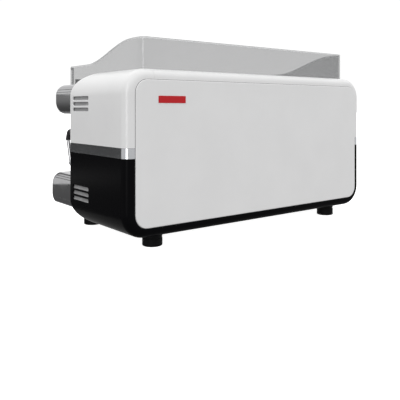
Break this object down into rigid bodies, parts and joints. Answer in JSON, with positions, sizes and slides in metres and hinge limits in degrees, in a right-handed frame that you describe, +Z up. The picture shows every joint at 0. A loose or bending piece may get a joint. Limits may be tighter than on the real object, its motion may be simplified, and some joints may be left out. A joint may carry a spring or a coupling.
{
  "type": "espresso machine",
  "caption": "Bar espresso machine with brewing groups under a gauge console, rounded white-over-black body, cup tray with clear guard, steam wands and lift-out drip grate.",
  "frame": {"origin": "on the counter under the middle of the machine's overall box", "axes": "+Z up, -Y towards the barista, +X to the barista's right along the machine's length"},
  "size_m": [1, 0.5804, 0.586],
  "materials": {
    "white_paint": "gloss white powder coat",
    "black_shell": "gloss black",
    "chrome_trim": "polished",
    "polished_steel": "polished stainless",
    "brushed_steel": "brushed stainless",
    "frame_steel": "black powder coat",
    "clear_guard": "smoked clear sheet",
    "foot_rubber": "matt",
    "seal_rubber": "matt",
    "badge_red": "enamelled",
    "vent_grey": "perforated sheet",
    "console_black": "satin black with fine bright lines",
    "dial_face": "printed dial",
    "lens_glass": "clear",
    "needle_white": "satin white",
    "chromed_brass": "polished",
    "handle_black": "satin black",
    "knob_black": "satin black",
    "button_steel": "brushed",
    "copper": "bare copper",
    "motor_grey": "painted casting",
    "box_grey": "satin",
    "zinc_steel": "zinc plated"
  },
  "bodies": {
    "machine": {"base_frame": "frame_steel", "base_pan": "zinc_steel", "upper_frame": "frame_steel", "feet": "foot_rubber", "side_cover_upper_right": "white_paint", "side_cover_upper_left": "white_paint", "side_cover_lower_right": "black_shell", "side_cover_lower_left": "black_shell", "side_bands": "chrome_trim", "top_rear_rail": "white_paint", "bottom_rear_rail": "black_shell", "rear_panel": "white_paint", "rear_badge": "badge_red", "vent_screens": "vent_grey", "cover_screws": "zinc_steel", "cup_tray": "brushed_steel", "cup_guard": "clear_guard", "console_panel": "console_black", "console_trims": "chrome_trim", "console_end_caps": "polished_steel", "gauge_bodies": "chrome_trim", "gauge_dials": "dial_face", "gauge_lenses": "lens_glass", "splash_panel": "polished_steel", "group_heads": "chromed_brass", "group_covers": "polished_steel", "group_gaskets": "seal_rubber", "shower_screens": "brushed_steel", "tray_surround": "polished_steel", "drip_basin": "brushed_steel", "boiler": "copper", "boiler_brackets": "zinc_steel", "heating_element": "copper", "pump_motor": "motor_grey", "control_box": "box_grey", "copper_pipes": "copper", "service_fittings": "chromed_brass", "outlet_valves": "chromed_brass"},
    "portafilter_left_body": {"portafilter_left": "chromed_brass", "portafilter_handle_left": "handle_black"},
    "needle_left_body": {"gauge_needle_left": "needle_white"},
    "button_left_body": {"brew_button_left": "button_steel"},
    "portafilter_centre_body": {"portafilter_centre": "chromed_brass", "portafilter_handle_centre": "handle_black"},
    "needle_centre_body": {"gauge_needle_centre": "needle_white"},
    "button_centre_body": {"brew_button_centre": "button_steel"},
    "portafilter_right_body": {"portafilter_right": "chromed_brass", "portafilter_handle_right": "handle_black"},
    "needle_right_body": {"gauge_needle_right": "needle_white"},
    "button_right_body": {"brew_button_right": "button_steel"},
    "wand_ball_left_body": {"wand_ball_left": "chromed_brass"},
    "wand_left_body": {"steam_wand_left": "polished_steel"},
    "steam_knob_left_body": {"steam_knob_left": "knob_black"},
    "wand_ball_right_body": {"wand_ball_right": "chromed_brass"},
    "wand_right_body": {"steam_wand_right": "polished_steel"},
    "steam_knob_right_body": {"steam_knob_right": "knob_black"},
    "hot_water_spout_body": {"hot_water_spout": "polished_steel"},
    "hot_water_knob_body": {"hot_water_knob": "knob_black"},
    "drip_grate_body": {"drip_grate": "brushed_steel"},
    "power_switch_body": {"power_switch": "knob_black"}
  },
  "joints": [
    {"name": "portafilter_left_turn", "type": "hinge", "parent": "machine", "child": "portafilter_left_body", "pos_m": [-0.25, -0.1, 0.304], "axis": [0, 0, 1], "range_deg": [-45, 0]},
    {"name": "gauge_needle_left_turn", "type": "hinge", "parent": "machine", "child": "needle_left_body", "pos_m": [-0.0567, -0.187, 0.417], "axis": [0, 1, 0], "range_deg": [0, 246], "stiffness_Nm_per_rad": 0.002},
    {"name": "brew_button_left_press", "type": "slide", "parent": "machine", "child": "button_left_body", "axis": [0, 1, 0], "range_m": [0, 0.003], "stiffness_N_per_m": 600, "springref_m": -0.002},
    {"name": "portafilter_centre_turn", "type": "hinge", "parent": "machine", "child": "portafilter_centre_body", "pos_m": [0, -0.1, 0.304], "axis": [0, 0, 1], "range_deg": [-45, 0]},
    {"name": "gauge_needle_centre_turn", "type": "hinge", "parent": "machine", "child": "needle_centre_body", "pos_m": [0, -0.187, 0.417], "axis": [0, 1, 0], "range_deg": [-33, 213], "stiffness_Nm_per_rad": 0.002},
    {"name": "brew_button_centre_press", "type": "slide", "parent": "machine", "child": "button_centre_body", "axis": [0, 1, 0], "range_m": [0, 0.003], "stiffness_N_per_m": 600, "springref_m": -0.002},
    {"name": "portafilter_right_turn", "type": "hinge", "parent": "machine", "child": "portafilter_right_body", "pos_m": [0.25, -0.1, 0.304], "axis": [0, 0, 1], "range_deg": [-45, 0]},
    {"name": "gauge_needle_right_turn", "type": "hinge", "parent": "machine", "child": "needle_right_body", "pos_m": [0.0567, -0.187, 0.417], "axis": [0, 1, 0], "range_deg": [0, 246], "stiffness_Nm_per_rad": 0.002},
    {"name": "brew_button_right_press", "type": "slide", "parent": "machine", "child": "button_right_body", "axis": [0, 1, 0], "range_m": [0, 0.003], "stiffness_N_per_m": 600, "springref_m": -0.002},
    {"name": "steam_wand_left_swing", "type": "hinge", "parent": "machine", "child": "wand_ball_left_body", "pos_m": [-0.45, -0.122, 0.3], "axis": [0, 0, 1], "range_deg": [-20, 30]},
    {"name": "steam_wand_left_tilt", "type": "hinge", "parent": "wand_ball_left_body", "child": "wand_left_body", "pos_m": [-0.45, -0.122, 0.3], "axis": [1, 0, 0], "range_deg": [-25, 10]},
    {"name": "steam_knob_left_turn", "type": "hinge", "parent": "machine", "child": "steam_knob_left_body", "pos_m": [-0.4, -0.2, 0.417], "axis": [0, -1, 0], "range_deg": [0, 270]},
    {"name": "steam_wand_right_swing", "type": "hinge", "parent": "machine", "child": "wand_ball_right_body", "pos_m": [0.45, -0.122, 0.3], "axis": [0, 0, 1], "range_deg": [-30, 20]},
    {"name": "steam_wand_right_tilt", "type": "hinge", "parent": "wand_ball_right_body", "child": "wand_right_body", "pos_m": [0.45, -0.122, 0.3], "axis": [1, 0, 0], "range_deg": [-25, 10]},
    {"name": "steam_knob_right_turn", "type": "hinge", "parent": "machine", "child": "steam_knob_right_body", "pos_m": [0.4, -0.2, 0.417], "axis": [0, -1, 0], "range_deg": [0, 270]},
    {"name": "hot_water_spout_swivel", "type": "hinge", "parent": "machine", "child": "hot_water_spout_body", "pos_m": [0.352, -0.096, 0.27], "axis": [0, 0, 1], "range_deg": [-35, 35]},
    {"name": "hot_water_knob_turn", "type": "hinge", "parent": "machine", "child": "hot_water_knob_body", "pos_m": [0.31, -0.2, 0.417], "axis": [0, -1, 0], "range_deg": [0, 270]},
    {"name": "drip_grate_lift", "type": "slide", "parent": "machine", "child": "drip_grate_body", "axis": [0, 0, 1], "range_m": [0, 0.01]},
    {"name": "power_switch_turn", "type": "hinge", "parent": "machine", "child": "power_switch_body", "pos_m": [-0.31, -0.2, 0.417], "axis": [0, 1, 0], "range_deg": [0, 90]}
  ]
}
